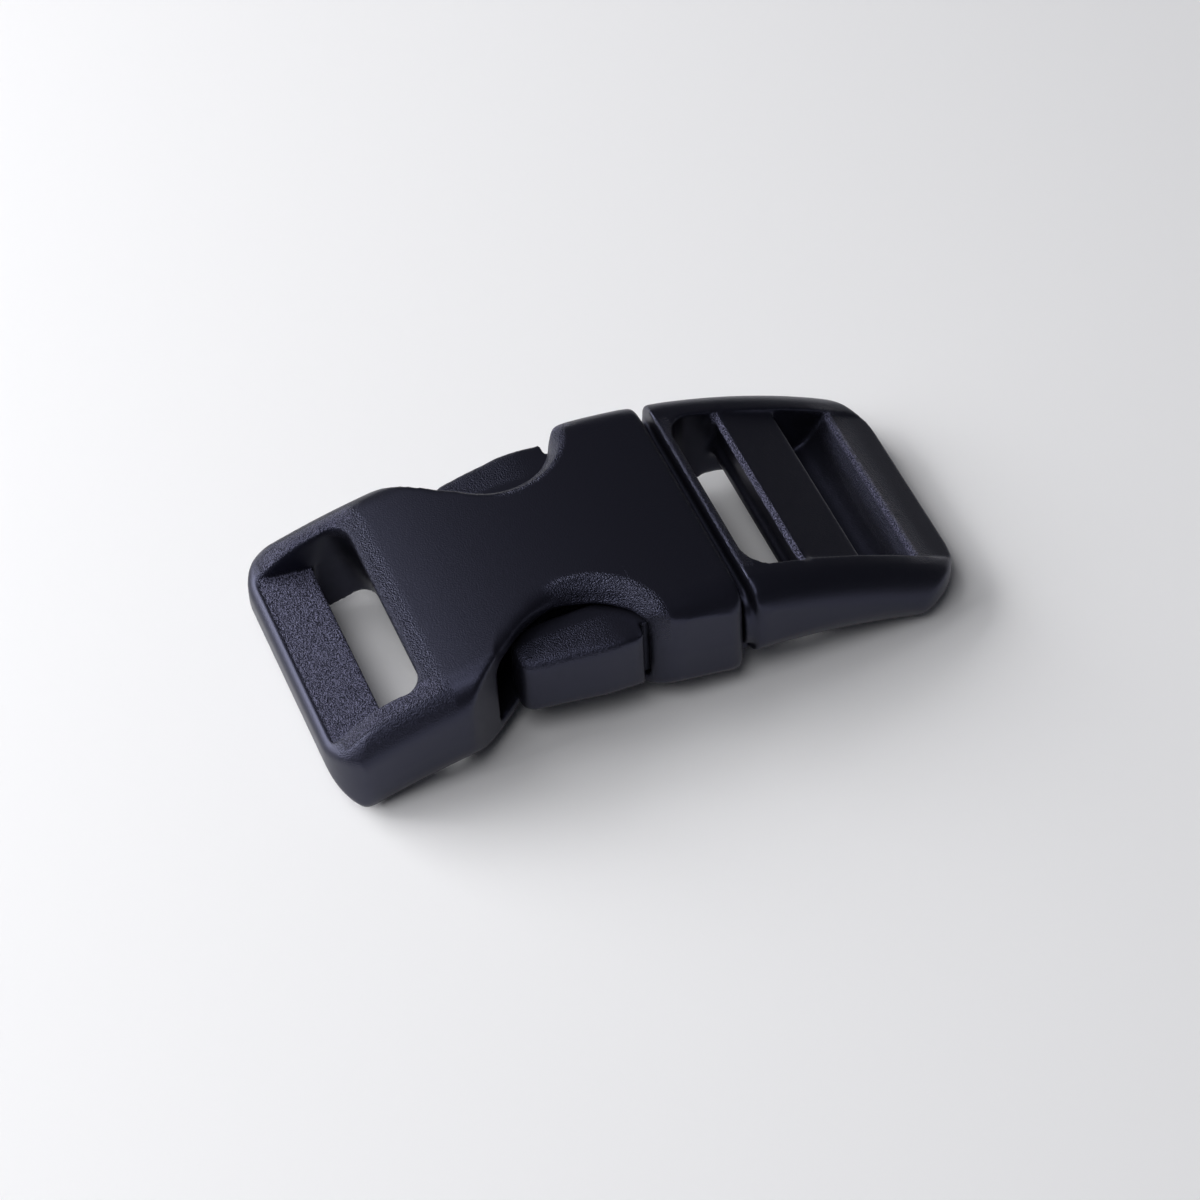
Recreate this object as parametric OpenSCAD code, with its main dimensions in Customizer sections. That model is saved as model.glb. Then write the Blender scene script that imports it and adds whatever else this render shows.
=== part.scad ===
// Side release buckle for 16 mm webbing, shown fastened: a socket and the plug locked in it.
// X runs along the webbing from the socket to the plug, Y across it and Z up.
// The origin lies on the resting surface, under the middle of the length.

/* [Body] */
// Length over both webbing ends
length = 49; // [47:0.5:55]
// Width over the side walls
width = 22; // [21.5:0.5:25]
// Height of the arched top at its crown
crown_h = 10.6; // [10:0.1:12]
// Share of the length that the socket takes, from its webbing end to its mouth
socket_share = 0.635; // [0.62:0.005:0.65]
// Radius of the rounded upper side edges
top_edge_r = 2.4; // [1:0.1:3]
// Radius of the rounded upper side edges of the turned-down webbing end of the socket
end_edge_r = 1.6; // [1:0.1:2.4]
// Radius of the rounded lower side edges of the socket
belly_edge_r = 2.4; // [1:0.1:2.6]
// Radius of the rounded lower side edges of the plug
plug_belly_edge_r = 2.8; // [1:0.1:3]
// Radius of the rounded corners of the webbing end of the socket, seen from above
end_corner_r = 3.6; // [2:0.1:4]
// Radius of the rounded underside of the webbing end of the socket
nose_r = 4; // [2:0.1:4.2]
// Radius of the rounded lower edge of the mouth
mouth_edge_r = 1.8; // [0.6:0.1:2]
// Radius of the rounded side edges of the mouth
mouth_corner_r = 1; // [0.4:0.1:1.2]

/* [Arches] */
// Radius of the arched top of the socket
socket_top_r = 59; // [50:1:80]
// Distance of the crown of the arch behind the mouth
crown_back = 10.1; // [8:0.1:12]
// Radius of the arched underside of the socket
socket_belly_r = 51; // [45:1:70]
// Height of the underside at the mouth
mouth_belly_h = 0.7; // [0.4:0.1:1.4]
// Radius of the turned-down webbing end of the socket
socket_end_r = 15; // [13:0.5:18]
// Height of the rim at the webbing end of the socket
socket_lip_h = 5.2; // [4.6:0.1:5.6]
// Radius of the arched top of the plug frame
plug_top_r = 51; // [48:1:60]
// Height of the rim at the outer end of the plug
plug_lip_h = 2.6; // [2.2:0.1:3.2]
// Radius of the arched underside of the plug
plug_belly_r = 45; // [38:1:80]
// Height of the underside of the plug at its collar
collar_belly_h = 2; // [1.6:0.1:3]

/* [Webbing] */
// Clear width of the webbing slots of the plug
plug_slot_w = 16; // [14:0.5:16.5]
// Clear width of the webbing slot of the socket
socket_slot_w = 16.6; // [15:0.2:17.4]
// Clear length of the webbing slot of the socket
socket_slot_l = 2.6; // [2.4:0.1:4]
// Widening of that slot towards the underside
slot_flare = 2.4; // [1:0.1:2.8]
// Length of the webbing end of the socket, from its face to its slot
end_bar_l = 5; // [4:0.1:6]
// Thickness of the lip at the webbing end
lip_t = 0.6; // [0.5:0.1:1.2]
// Height of the fixed bar at its lip
end_bar_low_h = 5.5; // [4:0.1:5.6]
// Height of the fixed bar at the slot
end_bar_high_h = 5.2; // [4.6:0.1:6]
// Clear length of the first slot of the plug
plug_slot_l = 3.9; // [3.6:0.1:5]
// Length of the gripping bar of the plug
grip_bar_l = 4.9; // [3.6:0.1:5]
// Thickness of the gripping bar
grip_bar_t = 4.2; // [3:0.1:4.6]
// Radius of the first edge of the gripping bar
grip_edge_r = 0.4; // [0.2:0.1:0.6]
// Depth of the gripping bar under the rim at its first edge
grip_bar_drop = 0.2; // [0.1:0.05:0.5]
// Depth of the gripping bar under the rim at its second edge
grip_bar_drop_back = 0.5; // [0.2:0.05:1]
// Length of the outer bar of the plug, from its ridge to the end
ridge_back = 3.2; // [2.6:0.1:3.8]
// Clear length of the second slot of the plug, at the foot of the outer bar's slope
second_slot_l = 1; // [0.8:0.1:1.6]
// Height of the foot of the slope
slope_foot_h = 1.2; // [1:0.1:1.6]

/* [Lock] */
// Thickness of the arched upper plate of the socket
top_plate_t = 1.8; // [1.2:0.1:2]
// Thickness of the arched lower plate of the socket
belly_plate_t = 1; // [0.8:0.1:1.6]
// Thickness of the side walls at the mouth
mouth_wall_t = 1.7; // [1.2:0.1:2]
// Share of the socket's length that its side walls at the mouth take
mouth_wall_share = 0.225; // [0.2:0.005:0.25]
// Narrowing of the socket at its mouth, on each side
mouth_narrow = 0.1; // [0:0.05:0.8]
// Narrowing of the side walls of the mouth from the mouth back to the shoulders, on each side
shoulder_narrow = 0.35; // [0:0.05:0.5]
// Half width of the plates at the waist
waist_half_w = 5.9; // [5:0.1:7]
// Radius of the thumb notches at the waist
notch_r = 4.5; // [4:0.1:5]
// Run of the shoulders along the length, from the waist out to the mouth walls
shoulder_slant = 1.9; // [1.4:0.1:2.2]
// Radius of the rounded shoulders
shoulder_r = 3; // [1:0.1:3.1]
// Length of the straight stretch of the waist between its two curves
waist_l = 2.7; // [2.4:0.1:3]
// Length over which the hips narrow to the waist
hip_l = 7; // [6:0.1:8]
// Share of the socket's length from its mouth back to its hips, where the side windows end
hip_share = 0.585; // [0.57:0.005:0.6]
// Width of the flare that rounds the plate edge at the waist
flare_w = 1.1; // [0.6:0.1:1.4]
// Clearance between the plug and the socket
fit_clear = 0.2; // [0.15:0.05:0.4]
// Gap between the shoulder of a prong and the side wall that it locks behind
lock_gap = 0.5; // [0.2:0.05:0.8]
// Gap between the mouth and the collar of the plug
mouth_gap = 0.8; // [0.5:0.1:1.2]
// Thickness of the collar at the mouth
collar_t = 0.7; // [0.6:0.1:1.4]
// Depth of the groove between the mouth and the collar
groove_d = 0.9; // [0.4:0.1:1.2]
// Thickness of a prong's spring arm
arm_t = 1.8; // [1.4:0.1:2.2]
// Half width over the bulged heads of the prongs
head_half_w = 10.4; // [9.6:0.1:10.6]
// Thickness of a prong's head
head_t = 4.4; // [3.4:0.1:4.6]
// Bevel along the outer edges of the heads
head_bevel = 1; // [0.5:0.1:1.2]
// Half width of the guide tongue between the prongs
tongue_half_w = 2.4; // [1.6:0.1:3]

/* [Hidden] */
$fn = 180;
arc_steps = 6;
over = 1;
plastic = [0.11, 0.11, 0.14];

// places along the length
end_x = length / 2;
socket_l = socket_share * length;
mouth_wall_l = mouth_wall_share * socket_l;
hip_back = hip_share * socket_l;
mouth_x = socket_l - end_x;
crown_x = mouth_x - crown_back;
collar_x = mouth_x + mouth_gap;
shoulder_x = mouth_x - mouth_wall_l;
hip_x = mouth_x - hip_back;
socket_slot_x = end_bar_l - end_x;
socket_face_x = socket_slot_x + socket_slot_l;
plug_slot_x = collar_x + collar_t;
grip_x = plug_slot_x + plug_slot_l;
grip_end_x = grip_x + grip_bar_l;
ridge_x = end_x - ridge_back;
foot_x = grip_end_x + second_slot_l;
slope_l = ridge_x - foot_x;
// the two feet on which the buckle rests, narrow flats cut off both undersides
socket_foot_x = nose_r - end_x + 0.2;
plug_foot_x = ridge_x - 0.35 * slope_l;
foot_cut = 0.05;
foot_l = 0.6;

// heights
top_c = [crown_x, crown_h - socket_top_r];
collar_top_h = arch_h(top_c, socket_top_r, collar_x);
turn_x = socket_face_x + over;
turn_h = arch_h(top_c, socket_top_r, turn_x) + 0.15;
turn_c = arc_centre([turn_x, turn_h], [-end_x, socket_lip_h], socket_end_r);
belly_c = arc_centre([mouth_x, mouth_belly_h], [socket_foot_x, -foot_cut], socket_belly_r);
plug_top_c = arc_centre([end_x, plug_lip_h], [collar_x, collar_top_h], plug_top_r);
plug_belly_c = arc_centre([plug_foot_x - foot_l, -foot_cut], [collar_x, collar_belly_h], plug_belly_r);
ridge_h = arch_h(plug_top_c, plug_top_r, ridge_x) - 0.1;

// half widths
half_w = width / 2;
mouth_half_w = half_w - mouth_narrow;
notch_y = waist_half_w + notch_r;
// where the line of the shoulders meets the line of the waist, and the middle of the thumb notch
notch_x = shoulder_x - 0.8 * shoulder_slant;
waist_x = notch_x - notch_r * tan(atan2(mouth_half_w - shoulder_narrow - waist_half_w, shoulder_slant) / 2);
bore_half_w = mouth_half_w - mouth_wall_t;
neck_half_w = bore_half_w - fit_clear;
head_in_y = head_half_w - head_t;
arm_in_y = neck_half_w - arm_t;

// Length of a 2D vector
function size(v) = sqrt(v * v);

// Direction of a 2D vector
function unit(v) = v / size(v);

// Height of an arch of radius r about centre c, at x
function arch_h(c, r, x) = c[1] + sqrt(r * r - (x - c[0]) * (x - c[0]));

// Centre, below the chord, of an arch of radius r through two points
function arc_centre(p, q, r) =
    let (chord = q - p, side = unit([-chord[1], chord[0]]), rise = sqrt(r * r - chord * chord / 4))
    (p + q) / 2 + side * rise * (side[1] > 0 ? -1 : 1);

// Points of the rounded corner b of an outline that comes from a and goes on to c
function corner(a, b, c, r) =
    let (u = unit(a - b), v = unit(c - b), half = acos(u * v) / 2,
         centre = b + unit(u + v) * r / sin(half),
         p = b + u * r / tan(half) - centre, q = b + v * r / tan(half) - centre,
         sweep = acos(min(1, p * q / (r * r))))
    [for (k = [0 : arc_steps]) centre
        + (sin(sweep * (1 - k / arc_steps)) * p + sin(sweep * k / arc_steps) * q) / sin(sweep)];

// Outline through corners given as [x, y, radius]; a radius of 0 keeps the corner sharp
function rounded(corners) =
    let (n = len(corners))
    [for (i = [0 : n - 1])
        let (a = corners[(i + n - 1) % n], b = corners[i], c = corners[(i + 1) % n])
        each (b[2] > 0 ? corner([a[0], a[1]], [b[0], b[1]], [c[0], c[1]], b[2]) : [[b[0], b[1]]])];

// Corners of one side followed by their mirror images on the other side
function both_sides(corners) =
    concat(corners, [for (i = [len(corners) - 1 : -1 : 0]) [corners[i][0], -corners[i][1], corners[i][2]]]);

// Stands a shape drawn in X and Z across the middle of the buckle, w wide
module across(w) {
    rotate([90, 0, 0])
        translate([0, 0, -w / 2])
            linear_extrude(height = w)
                children();
}

// Ring about an axis along Y, as wide as the buckle, with its outer edges rounded
module arch_ring(c, r, depth, edge_r) {
    translate([c[0], 0, c[1]])
        rotate([90, 0, 0])
            rotate_extrude()
                union() {
                    translate([r - depth, -half_w])
                        square([depth - edge_r, width]);
                    translate([r - depth, edge_r - half_w])
                        square([depth, width - 2 * edge_r]);
                    for (side = [-1, 1])
                        translate([r - edge_r, side * (half_w - edge_r)])
                            circle(r = edge_r, $fn = 64);
                }
}

// Ring about an axis along Y, as wide as the buckle, with its inner edges rounded
module belly_ring(c, r, depth, edge_r) {
    translate([c[0], 0, c[1]])
        rotate([90, 0, 0])
            rotate_extrude()
                union() {
                    translate([r + edge_r, -half_w])
                        square([depth - edge_r, width]);
                    translate([r, edge_r - half_w])
                        square([depth, width - 2 * edge_r]);
                    for (side = [-1, 1])
                        translate([r + edge_r, side * (half_w - edge_r)])
                            circle(r = edge_r, $fn = 64);
                }
}

// Solid arch of radius r about centre c, wider than the buckle
module drum(c, r) {
    translate([c[0], 0, c[1]])
        rotate([90, 0, 0])
            cylinder(r = r, h = 2 * width, center = true);
}

// Space between the two plates of the socket, smaller by gap above and below
module between_plates(gap) {
    difference() {
        intersection() {
            drum(top_c, socket_top_r - top_plate_t - gap);
            children();
        }
        drum(belly_c, socket_belly_r + belly_plate_t + gap);
    }
}

// Plan outline of the socket, from its webbing end over hips, waist and shoulders to its mouth
module socket_plan() {
    polygon(rounded(both_sides([
        [-end_x, half_w + 0.3, end_corner_r],
        [waist_x - waist_l - hip_l, half_w + 0.3, 3],
        [waist_x - waist_l, waist_half_w, 6],
        [notch_x, waist_half_w, notch_r],
        [notch_x + shoulder_slant, mouth_half_w - shoulder_narrow, shoulder_r],
        [mouth_x, mouth_half_w, mouth_corner_r]])));
}

// Side outline of the socket: round under the webbing end and under the mouth
module socket_side() {
    ease_x = mouth_x - 2 * mouth_edge_r;
    polygon(rounded([
        [-end_x, crown_h + over, 0],
        [-end_x, 0, nose_r],
        [ease_x, 0, 0],
        [ease_x, arch_h(belly_c, socket_belly_r, ease_x), 0],
        [mouth_x, mouth_belly_h, mouth_edge_r],
        [mouth_x, crown_h + over, 0]]));
}

// Flare that dishes the edge of the upper plate around one thumb notch
module flare() {
    translate([waist_x, notch_y, 0])
        rotate_extrude()
            polygon([
                [0, crown_h - 1.3 * flare_w],
                [notch_r + 0.05 * flare_w, crown_h - 1.3 * flare_w],
                [notch_r + 0.35 * flare_w, crown_h - 0.6 * flare_w],
                [notch_r + flare_w, crown_h],
                [notch_r + flare_w, crown_h + over],
                [0, crown_h + over]]);
}

// Recess over the fixed bar and the webbing slot behind it, whose far wall leans under the plate
module webbing_recess() {
    lean = atan(slot_flare / crown_h);
    intersection() {
        across(socket_slot_w)
            polygon([
                [lip_t - end_x, end_bar_low_h],
                [socket_slot_x, end_bar_high_h],
                [socket_slot_x, -over],
                [crown_x, -over],
                [crown_x, crown_h + over],
                [lip_t - end_x, crown_h + over]]);
        translate([socket_face_x, 0, 0.85 * crown_h])
            rotate([0, -lean, 0])
                linear_extrude(height = 2 * length, center = true)
                    polygon(rounded(both_sides([
                        [-length, socket_slot_w / 2 + 0.1, 0],
                        [0, socket_slot_w / 2 + 0.1, 1.5]])));
    }
}

// Plan of the hollow of the socket: mouth between its walls, open windows and round back
module hollow_plan() {
    polygon(rounded(both_sides([
        [hip_x - 1.6, bore_half_w - 2.2, 1],
        [hip_x, bore_half_w - 0.6, 0],
        [hip_x + 0.3, half_w + over, 0],
        [shoulder_x, half_w + over, 0],
        [shoulder_x, bore_half_w, 0],
        [mouth_x + over, bore_half_w, 0]])));
}

module socket() {
    color(plastic)
        difference() {
            intersection() {
                arch_ring(top_c, socket_top_r, 14, top_edge_r);
                belly_ring(belly_c, socket_belly_r, 14, belly_edge_r);
                union() {
                    arch_ring(turn_c, socket_end_r, socket_end_r - over, end_edge_r);
                    translate([turn_x, -half_w - over, -over])
                        cube([length, width + 2 * over, crown_h + 2 * over]);
                }
                linear_extrude(height = crown_h + over)
                    socket_plan();
                across(2 * width)
                    socket_side();
            }
            between_plates(0)
                translate([0, 0, -over])
                    linear_extrude(height = crown_h + 2 * over)
                        hollow_plan();
            webbing_recess();
            for (side = [0, 1])
                mirror([0, side, 0])
                    flare();
        }
}

// Plan of one prong: spring arm and bulged head with a blunt shoulder
module prong_plan() {
    head_l = hip_back - mouth_wall_l - 2;
    lock_x = shoulder_x - lock_gap;
    tip_x = lock_x - head_l;
    polygon(rounded([
        [collar_x, neck_half_w, 0],
        [lock_x, neck_half_w, 0.3],
        [lock_x, head_half_w - 0.1, 0.6],
        [shoulder_x - 0.35 * head_l, head_half_w, 6],
        [tip_x, head_half_w - 1, 1.2],
        [tip_x + 0.4, head_in_y, 0.8],
        [shoulder_x - 0.3 * head_l, head_in_y, 3],
        [shoulder_x + 0.1 * head_l, arm_in_y, 3],
        [collar_x, arm_in_y, 0]]));
}

// Plan of the neck and the guide tongue between the prongs
module tongue_plan() {
    neck_l = 0.5 * mouth_wall_l;
    polygon(rounded(both_sides([
        [hip_x + 3, tongue_half_w, 1],
        [mouth_x - neck_l, tongue_half_w, 1],
        [mouth_x - neck_l, neck_half_w, 0],
        [plug_slot_x - 0.1, neck_half_w, 0]])));
}

// Cross outline of the insert, with the outer edges of the heads bevelled
module insert_end() {
    high = crown_h - top_plate_t - fit_clear;
    low = belly_c[1] + socket_belly_r + belly_plate_t + fit_clear;
    polygon(rounded(both_sides([
        [high + over, head_half_w - head_bevel - over, 0],
        [high - head_bevel, head_half_w, head_bevel],
        [low + head_bevel, head_half_w, head_bevel],
        [low - over, head_half_w - head_bevel - over, 0]])));
}

// Neck, tongue and prongs, which lie between the plates of the socket
module insert() {
    intersection() {
        between_plates(fit_clear)
            translate([0, 0, -over])
                linear_extrude(height = crown_h + 2 * over)
                    union() {
                        tongue_plan();
                        prong_plan();
                        mirror([0, 1])
                            prong_plan();
                    }
        rotate([0, -90, 0])
            linear_extrude(height = 2 * length, center = true)
                insert_end();
    }
}

// Floor of the groove that runs around the plug between the mouth and the collar
module groove_floor() {
    side_y = half_w - 0.1 - groove_d;
    under_h = collar_belly_h + groove_d;
    translate([mouth_x + fit_clear, 0, 0])
        rotate([90, 0, 90])
            linear_extrude(height = mouth_gap)
                polygon(rounded([
                    [-side_y, under_h, 1.6],
                    [side_y, under_h, 1.6],
                    [side_y, collar_top_h - groove_d, 1.6],
                    [-side_y, collar_top_h - groove_d, 1.6]]));
}

// Plan outline of the plug frame
module frame_plan() {
    polygon(rounded(both_sides([
        [collar_x, half_w - 0.1, 0.5],
        [end_x, half_w + 0.2, 5]])));
}

// Opening of the plug frame, rounded in plan at the collar, with the sloping inner face of the outer bar
module frame_opening() {
    intersection() {
        across(plug_slot_w)
            polygon([
                [plug_slot_x, -over],
                [foot_x, -over],
                [foot_x, slope_foot_h],
                [ridge_x, ridge_h],
                [ridge_x, crown_h + over],
                [plug_slot_x, crown_h + over]]);
        translate([0, 0, -over])
            linear_extrude(height = crown_h + 3 * over)
                polygon(rounded(both_sides([
                    [plug_slot_x, plug_slot_w / 2 + 0.1, 2.2],
                    [ridge_x + over, plug_slot_w / 2 + 0.1, 0]])));
    }
}

// Gripping bar across the frame, level with the sloping rim
module grip_bar() {
    high = arch_h(plug_top_c, plug_top_r, grip_x) - grip_bar_drop;
    low = arch_h(plug_top_c, plug_top_r, grip_end_x) - grip_bar_drop_back;
    across(plug_slot_w + over)
        polygon(rounded([
            [grip_x, high, grip_edge_r],
            [grip_end_x, low, 0],
            [grip_end_x - 0.35 * grip_bar_t, high - 1.1 * grip_bar_t, 0],
            [grip_x, high - grip_bar_t, grip_edge_r]]));
}

// Side outline of the plug frame: its outer bar rises from the foot to a thin overhanging lip
module frame_side() {
    polygon(rounded([
        [collar_x, crown_h + over, 0],
        [collar_x, 0, 0],
        [plug_foot_x, 0, 1],
        [plug_foot_x + 1.2, plug_lip_h - 1.1, 0.5],
        [end_x, plug_lip_h - 0.8, 0],
        [end_x, crown_h + over, 0]]));
}

module plug() {
    color(plastic)
        union() {
            difference() {
                intersection() {
                    arch_ring(plug_top_c, plug_top_r, 14, top_edge_r);
                    belly_ring(plug_belly_c, plug_belly_r, 14, plug_belly_edge_r);
                    linear_extrude(height = crown_h + over)
                        frame_plan();
                    across(2 * width)
                        frame_side();
                }
                frame_opening();
            }
            grip_bar();
            groove_floor();
            insert();
        }
}

socket();
plug();
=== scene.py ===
"""Side release buckle for 16 mm webbing, moulded in black acetal, lying fastened on a pale table."""

import math

import bmesh
import bpy
import numpy as np
from mathutils import Matrix, Vector


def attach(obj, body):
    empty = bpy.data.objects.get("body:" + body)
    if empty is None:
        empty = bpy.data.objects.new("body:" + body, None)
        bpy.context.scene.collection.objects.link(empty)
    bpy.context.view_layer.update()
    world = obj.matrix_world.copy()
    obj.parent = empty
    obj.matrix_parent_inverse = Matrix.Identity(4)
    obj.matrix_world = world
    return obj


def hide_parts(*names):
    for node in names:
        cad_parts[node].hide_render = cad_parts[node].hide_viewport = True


MM = 0.001

# sizes, all in millimetres: X runs along the webbing towards the plug's end, Z up

LENGTH, WIDTH, CROWN_H = 49.0, 22.0, 10.6
END_X, HALF_W = LENGTH / 2, WIDTH / 2
OVER = 1                   # how far a cutting shape reaches past what it cuts
FAR = 99                   # past every surface

# places along the socket

MOUTH_X = 6.615            # mouth, where the plug goes in
EASE_X = MOUTH_X - 3.6     # where the rounded lower edge of the mouth starts
SHOULDER_X = -0.386        # inner end of the mouth's side walls
CROWN_X = -3.485           # highest point of the arched plate
HIP_X = -11.587            # outer end of the side windows
SLOT_FACE_X = -16.9        # edge of the plate at the webbing slot
TURN_X = SLOT_FACE_X + 1   # where the plate turns down to the end
SLOT_X = -19.5             # inner edge of the fixed bar
REST_X = -20.3             # where the belly's arch meets the table

# places along the plug

COLLAR_X = 7.415           # collar, next to the mouth
PLUG_SLOT_X = 8.115        # first slot
GRIP_X, GRIP_END_X = 12.015, 16.915    # gripping bar
FOOT_X, RIDGE_X = 17.915, 21.3         # foot and ridge of the outer bar's slope
PLUG_REST_X = 19.515       # where the plug's arched belly meets the table

# widths, most of them from the middle out

MOUTH_HALF_W, SHOULDER_HALF_W, WAIST_HALF_W = 10.9, 10.55, 5.9
BORE_HALF_W, NECK_HALF_W = 9.2, 9.0    # room between the mouth's walls, and the plug's neck in it
HEAD_HALF_W, TONGUE_HALF_W = 10.4, 2.4
STEP_HALF_W = 10.4         # floor of the groove beside the collar
RECESS_W, SLOT_CORE_W = 16.6, 16.9
FRAME_W, GRIP_BAR_W = 16, 17
PLAN_OVER = 0.3            # plan drawn wider than the arches, whose rounded sides set the width

# heights and walls

MOUTH_BELLY_H, COLLAR_BELLY_H = 0.7, 2
LIP_H, PLUG_LIP_H = 5.2, 2.6
BAR_LIP_H, BAR_SLOT_H = 5.7, 5.2       # top of the fixed bar at the lip and at the slot
LIP_T = 0.6                            # of the turned-down end
STEP_LOW_H, STEP_HIGH_H = 3.0, 8.0     # floor of the groove beside the collar, below and above
TOP_PLATE_T, BELLY_PLATE_T = 1.8, 1.0
FIT_CLEAR = 0.2            # between the plug and the socket's plates
REST_CUT = 0.05            # how much of the arched bellies the table takes off
TURN_RISE = 0.15           # the turned end starts this much above the plate's arch

# the waist and its thumb notches

NOTCH_R = 4.5
SHOULDER_RUN = 1.9         # from the waist out to the mouth walls, along the buckle
WAIST_L, HIP_L = 2.7, 9.7  # from a notch's middle to the corners of the waist and of the hips
NOTCH_X = SHOULDER_X - 0.8 * SHOULDER_RUN
SHOULDER_TURN = math.atan2(SHOULDER_HALF_W - WAIST_HALF_W, SHOULDER_RUN)
WAIST_X = NOTCH_X - NOTCH_R * math.tan(SHOULDER_TURN / 2)
FLARE_W = 1.1              # dish round the plate's edge at a thumb notch
FLARE_PROFILE = [(0.05, 1.3), (0.35, 0.6), (1, 0)]    # outwards and down, as shares of the flare's width

# rounded corners and edges

END_CORNER_R, HIP_R, WAIST_R, SHOULDER_R, MOUTH_CORNER_R = 3.6, 3, 6, 3, 1
TOP_EDGE_R, END_EDGE_R, BELLY_EDGE_R = 2.4, 1.6, 2.4
PLUG_TOP_EDGE_R, PLUG_BELLY_EDGE_R, PLUG_CORNER_R = 2.4, 2.8, 5
NOSE_R, MOUTH_EDGE_R, GROOVE_R = 4, 1.8, 1.8
SLOT_CORNER_R, PLUG_SLOT_CORNER_R = 1.5, 2.2

# arches of the plates

TOP_R, TURN_R, BELLY_R = 59, 15, 51
PLUG_TOP_R, PLUG_BELLY_R = 51, 45
TOP_ROOM, ARCH_ROOM = 19, 15           # how far the room under or over an arch reaches, past the whole buckle
SLOT_FLARE = 2.4           # widening of the webbing slot from the crown's height down to the table
SLOT_FACE_H = 0.85 * CROWN_H

# mesh

VOXEL = 0.13               # grain of the mesh that carries the soft moulded edges
TRIANGLES = 190000         # of each finished piece
DRAFT = 0.006              # lean of the side walls, as a share of their distance from the middle
DRAFT_H = 4.0              # height over which the lean grows
PARTING_DROP = 0.4         # parting line under the middle of the side walls


def arch_h(centre, r, x):
    """Height of an arch of radius r about centre, at one or more places x."""
    return centre[1] + np.sqrt(np.maximum(r * r - (x - centre[0]) ** 2, 0))


def arc_centre(p, q, r):
    """Centre, below the chord, of an arch of radius r through two points."""
    p, q = Vector(p), Vector(q)
    chord = q - p
    side = Vector((-chord.y, chord.x)).normalized()
    rise = math.sqrt(r * r - chord.length_squared / 4)
    return (p + q) / 2 + side * rise * (-1 if side.y > 0 else 1)


TOP_C = Vector((CROWN_X, CROWN_H - TOP_R))
TURN_C = arc_centre((TURN_X, arch_h(TOP_C, TOP_R, TURN_X) + TURN_RISE), (-END_X, LIP_H), TURN_R)
BELLY_C = arc_centre((MOUTH_X, MOUTH_BELLY_H), (REST_X, -REST_CUT), BELLY_R)
PLUG_TOP_C = arc_centre((END_X, PLUG_LIP_H), (COLLAR_X, arch_h(TOP_C, TOP_R, COLLAR_X)), PLUG_TOP_R)
PLUG_BELLY_C = arc_centre((PLUG_REST_X, -REST_CUT), (COLLAR_X, COLLAR_BELLY_H), PLUG_BELLY_R)

# forms


def both_sides(corners):
    """Corners of one side followed by their mirror images on the other side."""
    return corners + [(x, -y, r) for x, y, r in reversed(corners)]


def flat_outline(corners):
    """A bmesh with one flat face through corners given as (x, y, radius)."""
    bm = bmesh.new()
    verts = [bm.verts.new((x * MM, y * MM, 0)) for x, y, _ in corners]
    bm.faces.new(verts)
    n = len(corners)
    cuts = []
    for i, (x, y, r) in enumerate(corners):
        if r <= 0:
            continue
        a = Vector(corners[i - 1][:2]) - Vector((x, y))
        b = Vector(corners[(i + 1) % n][:2]) - Vector((x, y))
        cuts.append((verts[i], r / math.tan(a.angle(b) / 2)))
    for vert, cut in cuts:
        bmesh.ops.bevel(bm, geom=[vert], offset=cut * MM, offset_type="OFFSET", segments=10,
                        profile=0.5, affect="VERTICES", material=-1)
    return bm


def drawn_out(bm, low, high):
    """Draws the flat face of bm out along Z into a closed solid."""
    bmesh.ops.translate(bm, vec=(0, 0, low * MM), verts=bm.verts)
    grown = bmesh.ops.extrude_face_region(bm, geom=bm.faces[:])["geom"]
    lid = [part for part in grown if isinstance(part, bmesh.types.BMVert)]
    bmesh.ops.translate(bm, vec=(0, 0, (high - low) * MM), verts=lid)
    bmesh.ops.recalc_face_normals(bm, faces=bm.faces)
    return bm


def turned(bm, degrees, axis):
    """Turns a bmesh about an axis through the origin."""
    turn = Matrix.Rotation(math.radians(degrees), 3, axis)
    bmesh.ops.rotate(bm, cent=(0, 0, 0), matrix=turn, verts=bm.verts)
    return bm


def moved(bm, x, y, z):
    """Moves a bmesh by millimetres."""
    bmesh.ops.translate(bm, vec=(x * MM, y * MM, z * MM), verts=bm.verts)
    return bm


def prism(corners, low=-OVER, high=CROWN_H + OVER):
    """Upright solid over an outline in X and Y."""
    return drawn_out(flat_outline(corners), low, high)


def across(corners, width):
    """Solid with an outline in X and Z, width wide across the buckle."""
    return turned(drawn_out(flat_outline(corners), -width / 2, width / 2), 90, "X")


def along(corners, low, high):
    """Solid with an outline in Y and Z, drawn out along the buckle from low to high."""
    bm = drawn_out(flat_outline(corners), low, high)
    turn = Matrix(((0, 0, 1), (1, 0, 0), (0, 1, 0)))
    bmesh.ops.rotate(bm, cent=(0, 0, 0), matrix=turn, verts=bm.verts)
    return bm


def ring(centre, inner, outer, edge_inner, edge_outer, width=WIDTH, start=-40, end=40, step=0.5):
    """Part of a ring about an axis along Y, its inner and outer edges rounded."""
    half = width / 2
    bm = flat_outline([(inner, -half, edge_inner), (outer, -half, edge_outer),
                       (outer, half, edge_outer), (inner, half, edge_inner)])
    # the radius up along Z, then turned to where the ring starts
    turned(turned(bm, -90, "Y"), start, "Y")
    bmesh.ops.spin(bm, geom=bm.verts[:] + bm.edges[:] + bm.faces[:], cent=(0, 0, 0), axis=(0, 1, 0),
                   angle=math.radians(end - start), steps=round((end - start) / step), use_duplicate=False)
    bmesh.ops.recalc_face_normals(bm, faces=bm.faces)
    return moved(bm, centre[0], 0, centre[1])


def under_arch(centre, r, edge_r, depth):
    """Room under an arch, its upper side edges rounded."""
    return ring(centre, r - depth, r, 0, edge_r)


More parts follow.
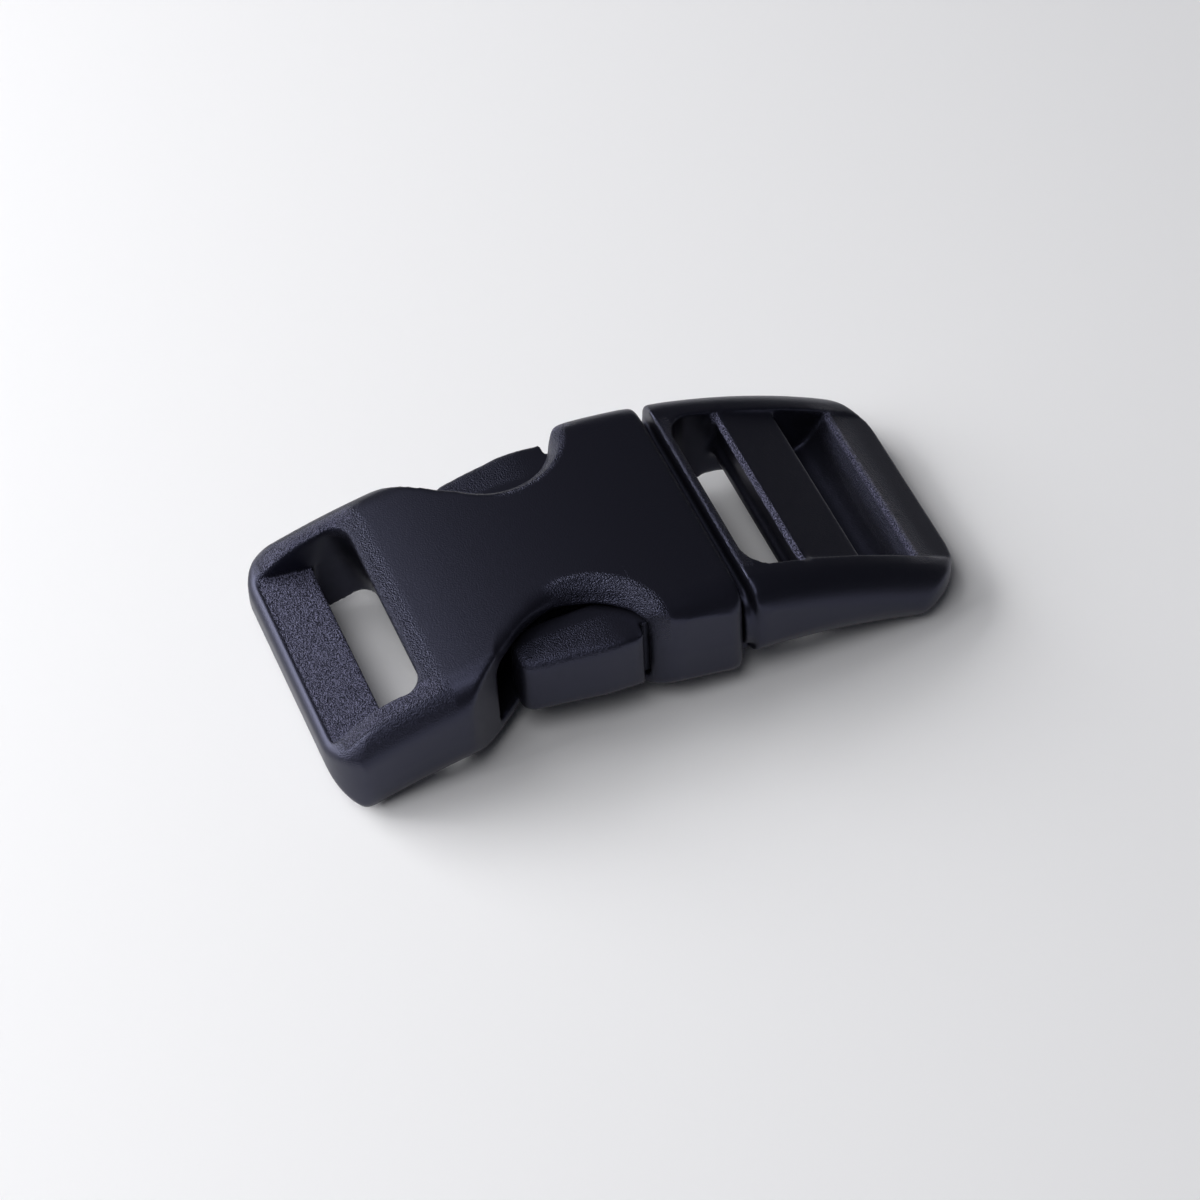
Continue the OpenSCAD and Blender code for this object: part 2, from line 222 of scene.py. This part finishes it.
def over_arch(centre, r, edge_r, height):
    """Room over an arch, its lower side edges rounded."""
    return ring(centre, r, r + height, edge_r, 0)


def drum(centre, r):
    """Solid arch, wider than the buckle."""
    return ring(centre, 0.3 * r, r, 0, 0, 2 * WIDTH)


def solid(bm, name):
    """Makes an object of a bmesh."""
    mesh = bpy.data.meshes.new(name)
    bm.to_mesh(mesh)
    bm.free()
    made = bpy.data.objects.new(name, mesh)
    bpy.context.scene.collection.objects.link(made)
    return made


def baked(made):
    """Applies the modifiers of an object to its mesh."""
    bpy.context.view_layer.update()
    seen = made.evaluated_get(bpy.context.evaluated_depsgraph_get())
    mesh = bpy.data.meshes.new_from_object(seen)
    made.modifiers.clear()
    old, made.data = made.data, mesh
    bpy.data.meshes.remove(old)
    return made


def combined(base, operation, *tools):
    """Cuts, joins or meets a solid with others, which are used up."""
    for tool in tools:
        change = base.modifiers.new(operation, "BOOLEAN")
        change.operation = operation
        change.solver = "MANIFOLD"
        change.object = tool
    baked(base)
    for tool in tools:
        bpy.data.objects.remove(tool)
    return base


def between_plates(plan, gap, name):
    """The part of an upright solid that lies between the socket's plates, gap clear of them."""
    inside = solid(plan, name)
    top_side = drum(TOP_C, TOP_R - TOP_PLATE_T - gap)
    belly_side = drum(BELLY_C, BELLY_R + BELLY_PLATE_T + gap)
    combined(inside, "INTERSECT", solid(top_side, "under_top_plate"))
    return combined(inside, "DIFFERENCE", solid(belly_side, "under_belly_plate"))


def mirrored(bm):
    """Mirrors a closed solid to the other side of the buckle."""
    bmesh.ops.scale(bm, vec=(1, -1, 1), verts=bm.verts)
    bmesh.ops.recalc_face_normals(bm, faces=bm.faces)
    return bm


# the socket


def flare(side):
    """Dish that rounds the edge of the upper plate around one thumb notch."""
    floor_h = CROWN_H - FLARE_PROFILE[0][1] * FLARE_W
    lid_h = CROWN_H + OVER
    wall = [(NOTCH_R + out * FLARE_W, CROWN_H - down * FLARE_W, 0) for out, down in FLARE_PROFILE]
    bm = flat_outline([(0, floor_h, 0)] + wall + [(NOTCH_R + FLARE_W, lid_h, 0), (0, lid_h, 0)])
    turned(bm, 90, "X")
    bmesh.ops.spin(bm, geom=bm.verts[:] + bm.edges[:] + bm.faces[:], cent=(0, 0, 0), axis=(0, 0, 1),
                   angle=2 * math.pi, steps=96, use_merge=True, use_duplicate=False)
    bmesh.ops.remove_doubles(bm, verts=bm.verts, dist=1e-6)
    # the outline that was spun is left inside the dish as one face of many corners
    inner = [f for f in bm.faces if len(f.verts) > 4]
    bmesh.ops.delete(bm, geom=inner, context="FACES_ONLY")
    bmesh.ops.recalc_face_normals(bm, faces=bm.faces)
    return moved(bm, WAIST_X, side * (WAIST_HALF_W + NOTCH_R), 0)


def leaning_wall(half_w):
    """Room up to the slot's far wall, which leans under the plate and is rounded into the side walls."""
    wall = prism(both_sides([(-LENGTH, half_w, 0), (0, half_w, SLOT_CORNER_R)]), -LENGTH, LENGTH)
    lean = Matrix.Rotation(-math.atan(SLOT_FLARE / CROWN_H), 3, "Y")
    bmesh.ops.rotate(wall, cent=(0, 0, 0), matrix=lean, verts=wall.verts)
    return moved(wall, SLOT_FACE_X, 0, SLOT_FACE_H)


def socket_body():
    """The socket in plan: end, hips, waist with its thumb notches, shoulders and mouth."""
    wide = HALF_W + PLAN_OVER
    return solid(prism(both_sides([
        (-END_X, wide, END_CORNER_R),
        (WAIST_X - HIP_L, wide, HIP_R),
        (WAIST_X - WAIST_L, WAIST_HALF_W, WAIST_R),
        (NOTCH_X, WAIST_HALF_W, NOTCH_R),
        (NOTCH_X + SHOULDER_RUN, SHOULDER_HALF_W, SHOULDER_R),
        (MOUTH_X, MOUTH_HALF_W, MOUTH_CORNER_R)]), 0), "buckle_socket")


def turned_end():
    """Room under the arch that turns the plate down to the end, and under all of the plate beyond it."""
    end = solid(ring(TURN_C, 1, TURN_R, 0, END_EDGE_R, start=-100, end=100, step=1), "turned_end")
    wide = HALF_W + OVER
    plate_room = prism([(TURN_X, -wide, 0), (TURN_X + LENGTH, -wide, 0),
                        (TURN_X + LENGTH, wide, 0), (TURN_X, wide, 0)])
    return combined(end, "UNION", solid(plate_room, "plate_room"))


def socket_side():
    """Side view of the socket, with its rounded nose and the rounded lower edge of its mouth."""
    return solid(across([
        (-END_X, CROWN_H + OVER, 0), (-END_X, 0, NOSE_R), (EASE_X, 0, 0),
        (EASE_X, arch_h(BELLY_C, BELLY_R, EASE_X), 0), (MOUTH_X, MOUTH_BELLY_H, MOUTH_EDGE_R),
        (MOUTH_X, CROWN_H + OVER, 0)], 2 * WIDTH), "side_outline")


def socket_hollow():
    """Room for the plug, open at the mouth and at the side windows."""
    return between_plates(prism(both_sides([
        (HIP_X - 1.6, BORE_HALF_W - 2.2, 1), (HIP_X, BORE_HALF_W - 0.6, 0), (HIP_X + 0.3, HALF_W + OVER, 0),
        (SHOULDER_X, HALF_W + OVER, 0), (SHOULDER_X, BORE_HALF_W, 0),
        (MOUTH_X + OVER, BORE_HALF_W, 0)])), 0, "hollow")


def end_recess():
    """The recess over the fixed bar, and the webbing slot."""
    lip_x = LIP_T - END_X
    recess = solid(across([
        (lip_x, BAR_LIP_H, 0), (SLOT_X, BAR_SLOT_H, 0), (SLOT_X, -OVER, 0), (CROWN_X, -OVER, 0),
        (CROWN_X, CROWN_H + OVER, 0), (lip_x, CROWN_H + OVER, 0)], RECESS_W), "recess")
    return combined(recess, "INTERSECT", solid(leaning_wall(RECESS_W / 2 + 0.1), "leaning_wall"))


def slot_core():
    """The core that leaves the slot, a little wider than the recess: a seam runs up the side walls."""
    core = solid(across([
        (SLOT_X, -OVER, 0), (SLOT_X + 0.1, BAR_SLOT_H, 0), (SLOT_X + 2, 11, 0), (CROWN_X, 11, 0),
        (CROWN_X, -OVER, 0)], SLOT_CORE_W), "slot_core")
    return combined(core, "INTERSECT", solid(leaning_wall(SLOT_CORE_W / 2), "leaning_wall"))


def socket_form():
    """The socket with its edges as the outlines leave them."""
    body = socket_body()
    combined(body, "INTERSECT",
             solid(under_arch(TOP_C, TOP_R, TOP_EDGE_R, TOP_ROOM), "top_arch"),
             solid(over_arch(BELLY_C, BELLY_R, BELLY_EDGE_R, ARCH_ROOM), "belly_arch"),
             turned_end(), socket_side())
    return combined(body, "DIFFERENCE", socket_hollow(), end_recess(), slot_core(),
                    solid(flare(1), "flare_back"), solid(flare(-1), "flare_front"))


# the plug


def prong():
    """Plan of one prong: spring arm and bulged head with a blunt shoulder."""
    head_l, head_t, arm_t = 9.2, 4.4, 1.8
    lock_x = SHOULDER_X - 0.5
    tip_x = lock_x - head_l
    inner_y = HEAD_HALF_W - head_t
    return [(COLLAR_X, NECK_HALF_W, 0), (lock_x, NECK_HALF_W, 0.3), (lock_x, HEAD_HALF_W - 0.1, 0.6),
            (SHOULDER_X - 0.35 * head_l, HEAD_HALF_W, 6), (tip_x, HEAD_HALF_W - 1, 1.2),
            (tip_x + 0.4, inner_y, 0.8), (SHOULDER_X - 0.3 * head_l, inner_y, 3),
            (SHOULDER_X + 0.1 * head_l, NECK_HALF_W - arm_t, 3), (COLLAR_X, NECK_HALF_W - arm_t, 0)]


def frame_body():
    """The webbing frame of the plug, with nothing cut out of it."""
    body = solid(prism(both_sides([
        (COLLAR_X, HALF_W - 0.1, 0.5), (END_X, HALF_W + 0.2, PLUG_CORNER_R)]), 0), "buckle_plug")
    # the underside of the outer bar stands on the table under the slope and rises to the end
    rise_x = RIDGE_X - 0.35 * (RIDGE_X - FOOT_X)
    return combined(body, "INTERSECT",
                    solid(under_arch(PLUG_TOP_C, PLUG_TOP_R, PLUG_TOP_EDGE_R, ARCH_ROOM), "plug_top"),
                    solid(over_arch(PLUG_BELLY_C, PLUG_BELLY_R, PLUG_BELLY_EDGE_R, ARCH_ROOM), "plug_belly"),
                    solid(across([(COLLAR_X, CROWN_H + OVER, 0), (COLLAR_X, 0, 0), (rise_x, 0, 1),
                                  (rise_x + 1.2, 1.5, 0.5), (END_X, 1.8, 0), (END_X, CROWN_H + OVER, 0)],
                                 2 * WIDTH), "frame_side"))


def frame_opening(ridge_h):
    """Opening of the frame: both slots, rounded at the collar, and the hollow slope of the outer bar."""
    opening = solid(across([
        (PLUG_SLOT_X, -OVER, 0), (FOOT_X, -OVER, 0), (FOOT_X, 1.2, 0), (FOOT_X + 1.9, 2.1, 2.5),
        (RIDGE_X, ridge_h, 0), (RIDGE_X, CROWN_H + OVER, 0),
        (PLUG_SLOT_X, CROWN_H + OVER, 0)], FRAME_W), "opening")
    half = FRAME_W / 2 + 0.1
    plan = prism(both_sides([(PLUG_SLOT_X, half, PLUG_SLOT_CORNER_R), (RIDGE_X + OVER, half, 0)]), -2 * OVER)
    return combined(opening, "INTERSECT", solid(plan, "rounded_plan"))


def bar_face(ridge_h):
    """Cut over the outer bar, whose face starts a little below the rails and meets them at the end."""
    past_x = END_X + 0.5
    return solid(across([
        (RIDGE_X - 1, ridge_h + 0.35, 0), (past_x, arch_h(PLUG_TOP_C, PLUG_TOP_R, past_x), 0),
        (past_x, CROWN_H, 0), (RIDGE_X - 1, CROWN_H, 0)], FRAME_W), "bar_face")


def grip_bar():
    """The gripping bar, with a bead along its first edge and a tooth under it."""
    high = arch_h(PLUG_TOP_C, PLUG_TOP_R, GRIP_X) - 0.2
    low = arch_h(PLUG_TOP_C, PLUG_TOP_R, GRIP_END_X) - 0.5
    neck_x, tooth_x = GRIP_X + 0.35, GRIP_X - 0.1
    return solid(across([
        (GRIP_X, high, 0.35), (GRIP_END_X, low, 0.2), (GRIP_END_X - 1.47, high - 4.62, 0),
        (tooth_x, high - 4.2, 0.3), (tooth_x, high - 3.3, 0.3),
        (neck_x, high - 2.9, 0.4), (neck_x, high - 0.9, 0.3),
        (GRIP_X, high - 0.6, 0.1)], GRIP_BAR_W), "grip_bar")


def collar_step():
    """Floor of the groove between the mouth and the collar."""
    return solid(along([
        (-STEP_HALF_W, STEP_LOW_H, GROOVE_R), (STEP_HALF_W, STEP_LOW_H, GROOVE_R),
        (STEP_HALF_W, STEP_HIGH_H, GROOVE_R), (-STEP_HALF_W, STEP_HIGH_H, GROOVE_R)],
        MOUTH_X + 0.08, COLLAR_X + 0.2), "collar_step")


def tongue():
    """The neck in the mouth and the guide tongue before it, between the socket's plates."""
    neck_x = MOUTH_X - 3.5
    return between_plates(prism(both_sides([
        (HIP_X + 3, TONGUE_HALF_W, 1), (neck_x, TONGUE_HALF_W, 1), (neck_x, NECK_HALF_W, 0),
        (PLUG_SLOT_X - 0.1, NECK_HALF_W, 0)])), FIT_CLEAR, "tongue")


def plug_form():
    """The plug with its edges as the outlines leave them."""
    body = frame_body()
    ridge_h = arch_h(PLUG_TOP_C, PLUG_TOP_R, RIDGE_X) - 0.1
    combined(body, "DIFFERENCE", frame_opening(ridge_h), bar_face(ridge_h))
    arms = [between_plates(prism(prong()), FIT_CLEAR, "prong_back"),
            between_plates(mirrored(prism(prong())), FIT_CLEAR, "prong_front")]
    return combined(body, "UNION", grip_bar(), collar_step(), tongue(), *arms)


# soft moulded edges


def remeshed(made):
    """Gives a form an even, fine mesh."""
    remesh = made.modifiers.new("fine", "REMESH")
    remesh.mode = "VOXEL"
    remesh.voxel_size = VOXEL * MM
    return baked(made)


def places(made):
    """The vertices' places, in millimetres, as columns x, y, z."""
    flat = np.empty(len(made.data.vertices) * 3)
    made.data.vertices.foreach_get("co", flat)
    return (flat.reshape(-1, 3) / MM).T


def put(made, x, y, z):
    """Moves the vertices to new places."""
    made.data.vertices.foreach_set("co", (np.array((x, y, z)).T * MM).ravel())
    made.data.update()


def surface(made):
    """What regions of a piece's surface are told by: place in millimetres, and how far it faces up."""
    x, y, z = places(made)
    flat = np.empty(len(made.data.vertices) * 3)
    made.data.vertex_normals.foreach_get("vector", flat)
    return {"along": x, "across": y, "side": np.abs(y), "up": z, "facing": flat.reshape(-1, 3)[:, 2]}


def within(value, low, high, ramp):
    """1 between low and high, falling to 0 over a ramp outside them."""
    t = np.clip(np.minimum(value - low, high - value) / ramp + 1, 0, 1)
    return t * t * (3 - 2 * t)


def region(on, share=1, **limits):
    """A share inside a region and 0 outside it, each limit given as low, high and ramp."""
    for measure, (low, high, ramp) in limits.items():
        share = share * within(on[measure], low, high, ramp)
    return share


def smoothed(made, passes, weights=None):
    """Rounds edges by relaxing the mesh, more where the weights are higher."""
    soft = made.modifiers.new("soft", "SMOOTH")
    soft.factor = 0.5
    soft.iterations = passes
    if weights is not None:
        steps = 20
        group = made.vertex_groups.new(name="soft")
        levels = np.round(weights * steps).astype(int)
        for level in range(1, steps + 1):
            group.add(np.flatnonzero(levels == level).tolist(), level / steps, "REPLACE")
        soft.vertex_group = "soft"
    baked(made)
    made.vertex_groups.clear()
    return made


def thinned(made):
    """Reduces a piece to at most TRIANGLES triangles."""
    made.data.calc_loop_triangles()
    cut = made.modifiers.new("thin", "DECIMATE")
    cut.ratio = min(1, TRIANGLES / len(made.data.loop_triangles))
    baked(made)
    made.data.polygons.foreach_set("use_smooth", [True] * len(made.data.polygons))
    return made


def drafted(made, top, belly):
    """Leans the side walls in above and below the parting line between two arches."""
    x, y, z = places(made)
    parting = (arch_h(*top, x) + arch_h(*belly, x)) / 2 - PARTING_DROP
    lean = DRAFT * np.abs(np.clip((z - parting) / DRAFT_H, -1, 1))
    put(made, x, y * (1 - lean), z)
    return made


def soft_socket_edges(made):
    """Smooths the socket's edges, most at its mouth, at the plate's edge over the slot and on the rails."""
    on = surface(made)
    hips = region(on, 0.4, along=(-15.5, -9.5, 2), side=(7.2, FAR, 1))
    nose = region(on, 0.7, along=(-FAR, -21, 1.5), side=(7.5, FAR, 1.5), up=(-FAR, 3.5, 1.5))
    corners = region(on, 0.5, side=(8.8, FAR, 1)) + region(on, 0.5, up=(-FAR, 3.2, 1))
    mouth = region(on, along=(5.9, FAR, 0.5)) * (0.8 + corners)
    shoulder = region(on, 0.6, along=(-2.5, 1.5, 1), side=(8.2, FAR, 1))
    plate_edge = region(on, along=(-17.9, -15.9, 0.4), side=(-FAR, 8, 0.6), up=(7.5, FAR, 0.5))
    lip = region(on, 0.6, along=(-FAR, -22.9, 0.3), up=(3.4, FAR, 0.5))
    bar_edge = region(on, 0.5, along=(-20.1, -19, 0.3), side=(-FAR, 7.6, 0.3), up=(4.4, FAR, 0.5))
    rails = region(on, along=(-23.5, -16.5, 0.5), side=(7.6, 9.6, 0.3), up=(5.6, FAR, 0.5))
    soft = np.maximum.reduce([hips, nose, mouth, shoulder, plate_edge, lip, bar_edge, rails])
    return smoothed(made, 60, np.clip(soft, 0, 1))


def rolled_notch(made):
    """Rolls the front thumb notch off more and more softly towards the hips."""
    on = surface(made)
    out = np.hypot(on["along"] - WAIST_X, on["across"] + WAIST_HALF_W + NOTCH_R) - NOTCH_R
    front = region(on, up=(7.2, FAR, 0.5), along=(-FAR, WAIST_X - 1.2, 1.8), across=(-FAR, -4, 0.5))
    return smoothed(made, 160, within(out, -0.5, 1.8, 0.6) * front)


def soft_plug_edges(made):
    """Smooths the plug's edges, most on the prongs' heads."""
    on = surface(made)
    heads = region(on, along=(-FAR, -1.3, 0.3), side=(6.5, FAR, 0.5))
    foot = region(on, 0.6, along=(18.5, FAR, 1.5), side=(8.5, FAR, 1), up=(-FAR, 3, 1))
    collar = region(on, 0.5, along=(7, 8.2, 0.6), side=(9.6, FAR, 0.8), up=(4, FAR, 1))
    fillets = region(on, 0.8, along=(GRIP_X - 0.7, GRIP_X + 0.6, 0.5), side=(7.3, 8.2, 0.5),
                     up=(-FAR, 8, 0.5))
    return smoothed(made, 90, np.maximum.reduce([heads, foot, collar, fillets]))


def socket_piece():
    """The finished socket, its edges soft as they leave the mould."""
    made = drafted(remeshed(socket_form()), (TOP_C, TOP_R), (BELLY_C, BELLY_R))
    return thinned(rolled_notch(soft_socket_edges(smoothed(made, 5))))


def plug_piece():
    """The finished plug, its edges soft as they leave the mould."""
    made = drafted(remeshed(plug_form()), (PLUG_TOP_C, PLUG_TOP_R), (PLUG_BELLY_C, PLUG_BELLY_R))
    return thinned(soft_plug_edges(smoothed(made, 5)))


# finishes


def linear(code):
    """Linear RGBA of an sRGB hex value."""
    parts = [int(code[i:i + 2], 16) / 255 for i in (1, 3, 5)]
    return [p / 12.92 if p <= 0.04045 else ((p + 0.055) / 1.055) ** 2.4 for p in parts] + [1.0]


def node(tree, kind, settings=None, **links):
    """Adds a node, sets its properties and inputs, and links its inputs to sockets."""
    made = tree.nodes.new(kind)
    for key, value in (settings or {}).items():
        if key in made.inputs:
            made.inputs[key].default_value = value
        else:
            setattr(made, key, value)
    for key, value in links.items():
        tree.links.new(value, made.inputs[key])
    return made


def acetal():
    """Black acetal as moulded: the mould's coarse grain where "grain" is 1, its polish where it is 0."""
    mat = bpy.data.materials.new("moulded_black_acetal")
    mat.use_nodes = True
    tree = mat.node_tree
    shader = tree.nodes["Principled BSDF"]
    shader.inputs["IOR"].default_value = 1.48
    # the plastic's own sheen is slightly violet
    shader.inputs["Specular Tint"].default_value = linear("#ccd0ff")
    shader.inputs["Specular IOR Level"].default_value = 0.65
    place = node(tree, "ShaderNodeTexCoord").outputs["Object"]
    grain = node(tree, "ShaderNodeAttribute", {"attribute_name": "grain"}).outputs["Fac"]

    # spark-eroded pits, about 0.11 mm across: they glint one by one, and are drawn deeper than real to show
    pits = node(tree, "ShaderNodeTexNoise", {"Scale": 1 / (0.11 * MM), "Detail": 1.0, "Roughness": 0.6},
                Vector=place)
    # bloom of the polished steel, about 0.06 mm across and drawn at 0.18 mm, so that it shows as a soft sheen
    bloom = node(tree, "ShaderNodeTexNoise", {"Scale": 1 / (0.18 * MM), "Detail": 1.0}, Vector=place)

    # deep grain is painted lighter, and the pits' peaks lighter still. This is partly the greyer look of
    # coarse grain and partly painted light: it lifts the fixed bar, the socket's rail crests and back
    # shoulder, the gripping bar's edge and the ridge where the lamps give too little, and it paints glints on
    # the pits
    lift_share = node(tree, "ShaderNodeMapRange", {"From Min": 0.7}, Value=grain)
    glint_peaks = node(tree, "ShaderNodeMapRange", {"From Min": 0.42, "From Max": 0.58}, Value=pits.outputs["Fac"])
    grey_and_glints = node(tree, "ShaderNodeMixRGB", {"Color1": linear("#15151c"), "Color2": linear("#6a6a82")},
                Fac=glint_peaks.outputs["Result"])
    grain_tone_and_painted_light = node(tree, "ShaderNodeMixRGB", {"Color1": linear("#131319")},
                Fac=lift_share.outputs["Result"], Color2=grey_and_glints.outputs["Color"])
    rough = node(tree, "ShaderNodeMapRange", {"To Min": 0.37, "To Max": 0.33}, Value=grain)
    fine = node(tree, "ShaderNodeBump", {"Strength": 0.25, "Distance": 0.01 * MM},
                Height=bloom.outputs["Fac"])
    bump = node(tree, "ShaderNodeBump", {"Distance": 0.26 * MM},
                Height=pits.outputs["Fac"], Strength=grain, Normal=fine.outputs["Normal"])
    tree.links.new(grain_tone_and_painted_light.outputs["Color"], shader.inputs["Base Color"])
    tree.links.new(rough.outputs["Result"], shader.inputs["Roughness"])
    tree.links.new(bump.outputs["Normal"], shader.inputs["Normal"])
    return mat


def grained(made, grain):
    """Stores how coarse the mould's grain is at each vertex."""
    layer = made.data.attributes.new("grain", "FLOAT", "POINT")
    layer.data.foreach_set("value", np.clip(grain, 0, 1).astype(np.float32))
    return made


def socket_grain(made):
    """Coarse grain on the fixed bar and in the thumb notches, finer on the rims, almost none on the plate."""
    on = surface(made)
    plate = region(on, 0.1, facing=(0.35, FAR, 0.2))
    bar = region(on, along=(-23.6, SLOT_X + 0.3, 0.35), side=(-FAR, 8.2, 0.15), facing=(0.6, FAR, 0.3))
    rim = region(on, 0.35, along=(-23.5, -15.4, 0.6), side=(-FAR, 10.6, 0.4), facing=(0.2, 0.93, 0.1))
    plate_edge = region(on, 0.6, along=(-17.2, -16.3, 1.5), side=(-FAR, 8.8, 1), up=(8, FAR, 0.4))
    # the rail crests and the back shoulder get grain above 0.7, which the material paints lighter: painted
    # light on them, as on the fixed bar
    rail_crest = region(on, 0.85, along=(-23, -16, 0.6), side=(8.2, 9.5, 0.3), facing=(0.5, FAR, 0.2))
    shoulder = region(on, 0.85, along=(-1.2, 1.2, 1), side=(9.4, 10.6, 0.4), facing=(0.2, FAR, 0.2),
                      across=(0, FAR, 0.1))
    from_notch = np.hypot(on["along"] - WAIST_X, on["side"] - WAIST_HALF_W - NOTCH_R)
    dish = within(from_notch, NOTCH_R, NOTCH_R + 1.3, 0.3) * region(
        on, 0.7, up=(7.5, FAR, 0.4), facing=(0.1, FAR, 0.2), along=(WAIST_X + 0.5, FAR, 3))
    # the lip is polished
    lip = region(on, along=(-FAR, -23.9, 0.25))
    coarse = np.maximum.reduce([plate, bar, rim, plate_edge, dish, rail_crest, shoulder])
    return grained(made, coarse * (1 - lip))


def plug_grain(made):
    """Coarse grain on the edge of the gripping bar and on the ridge, finer beside them and on the heads."""
    on = surface(made)
    inner = (-FAR, 7.95, 0.1)
    plate = region(on, 0.08, facing=(0.35, FAR, 0.2), along=(COLLAR_X, FAR, 0.2))
    head = region(on, 0.4, along=(-FAR, -4, 3), side=(7.5, FAR, 0.5), facing=(0.25, 0.97, 0.15))
    # the gripping bar's edge and the ridge get grain 1, which the material paints lighter: partly the grain's
    # greyer look, partly painted light along them
    grip_edge = region(on, along=(GRIP_X - 0.1, GRIP_X + 0.4, 0.12), side=inner, up=(7.2, FAR, 0.2))
    slope = region(on, 0.45, along=(RIDGE_X - 0.5, RIDGE_X, 1.2), side=inner, facing=(-0.1, FAR, 0.1))
    ridge = region(on, along=(RIDGE_X - 0.15, RIDGE_X + 0.15, 0.5), side=inner, facing=(-0.1, FAR, 0.1))
    face = region(on, 0.4, along=(RIDGE_X, RIDGE_X + 0.2, 2.2), side=(-FAR, 8, 1.5), facing=(0.3, FAR, 0.2))
    collar = region(on, 0.5, along=(COLLAR_X, PLUG_SLOT_X + 0.3, 0.1), side=inner, facing=(0.3, FAR, 0.2))
    return grained(made, np.maximum.reduce([plate, head, grip_edge, slope, ridge, face, collar]))


# stage

TABLE_HALF_M = 3.0         # in metres
LAMP_AIM = (0, 0, 5)
# name, place and side of each square lamp in millimetres, and its power in watts
LAMPS = [
    ("left_window", (-340, 60, 190), 220, 0.6),
    ("high_window", (-160, 130, 420), 200, 0.3),
    ("back_window", (-260, 240, 200), 250, 1.3),
    ("overhead", (-170, -150, 420), 250, 0.65),
]

# the camera of the photograph: its turn in degrees, its distance in millimetres, and its lens
AZIMUTH, ELEVATION, ROLL = -19.82, 48.78, -3.29
DISTANCE = 281.68
AIM, AIM_RIGHT, AIM_UP = (-3.5, 0, 7.8), 3.07, -3.25
FOCAL_PX, FRAME_PX, SENSOR = 3927.7, 1200, 36


def plain(name, code, roughness):
    """An even material of one colour."""
    mat = bpy.data.materials.new(name)
    mat.use_nodes = True
    shader = mat.node_tree.nodes["Principled BSDF"]
    shader.inputs["Base Color"].default_value = linear(code)
    shader.inputs["Roughness"].default_value = roughness
    return mat


def table_top():
    """The pale table, which is not part of the buckle."""
    bm = bmesh.new()
    bmesh.ops.create_grid(bm, x_segments=1, y_segments=1, size=TABLE_HALF_M)
    top = solid(bm, "table_top")
    top.data.materials.append(plain("white_table", "#f2f2f4", 0.9))
    return top


def lamp(name, place, size, watts):
    """A square soft light in millimetres, aimed at the buckle."""
    data = bpy.data.lights.new(name, "AREA")
    data.size = size * MM
    data.energy = watts
    made = bpy.data.objects.new(name, data)
    made.location = Vector(place) * MM
    made.rotation_mode = "QUATERNION"
    made.rotation_quaternion = (Vector(LAMP_AIM) - Vector(place)).to_track_quat("-Z", "Y")
    bpy.context.scene.collection.objects.link(made)
    return made


def photo_camera():
    """The camera at the photograph's angle."""
    azimuth, elevation, roll = (math.radians(a) for a in (AZIMUTH, ELEVATION, ROLL))
    back = Vector((math.sin(azimuth) * math.cos(elevation), -math.cos(azimuth) * math.cos(elevation),
                   math.sin(elevation)))
    flat_right = Vector((math.cos(azimuth), math.sin(azimuth), 0))
    flat_up = back.cross(flat_right)
    right = math.cos(roll) * flat_right + math.sin(roll) * flat_up
    up = back.cross(right)
    aim = Vector(AIM) + AIM_RIGHT * right + AIM_UP * up
    data = bpy.data.cameras.new("camera")
    data.sensor_width = SENSOR
    data.lens = FOCAL_PX / FRAME_PX * SENSOR
    data.clip_start = 0.01
    camera = bpy.data.objects.new("camera", data)
    turn = Matrix((right, up, back)).transposed().to_4x4()
    camera.matrix_world = Matrix.Translation((aim + DISTANCE * back) * MM) @ turn
    bpy.context.scene.collection.objects.link(camera)
    bpy.context.scene.camera = camera


def surroundings():
    """A dim, slightly cool room around the lamps."""
    world = bpy.data.worlds.new("studio")
    bpy.context.scene.world = world
    world.use_nodes = True
    light = world.node_tree.nodes["Background"]
    light.inputs["Color"].default_value = linear("#f0f2ff")
    light.inputs["Strength"].default_value = 0.055
    bpy.context.scene.view_settings.view_transform = "Standard"


# the buckle

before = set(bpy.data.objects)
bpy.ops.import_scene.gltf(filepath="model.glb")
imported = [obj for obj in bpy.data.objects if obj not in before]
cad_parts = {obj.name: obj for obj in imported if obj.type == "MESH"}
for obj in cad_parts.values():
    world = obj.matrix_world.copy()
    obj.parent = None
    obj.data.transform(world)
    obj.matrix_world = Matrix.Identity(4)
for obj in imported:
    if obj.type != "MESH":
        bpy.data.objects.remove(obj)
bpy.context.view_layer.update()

black = acetal()
halves = ((socket_piece, socket_grain, "socket"), (plug_piece, plug_grain, "plug"))
for made_piece, grain_of, cad_node in halves:
    piece = grain_of(made_piece())
    piece.data.materials.clear()
    piece.data.materials.append(black)
    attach(piece, "root")
    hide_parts(cad_node)

table_top()
surroundings()
for lamp_name, lamp_place, lamp_size, lamp_watts in LAMPS:
    lamp(lamp_name, lamp_place, lamp_size, lamp_watts)
photo_camera()
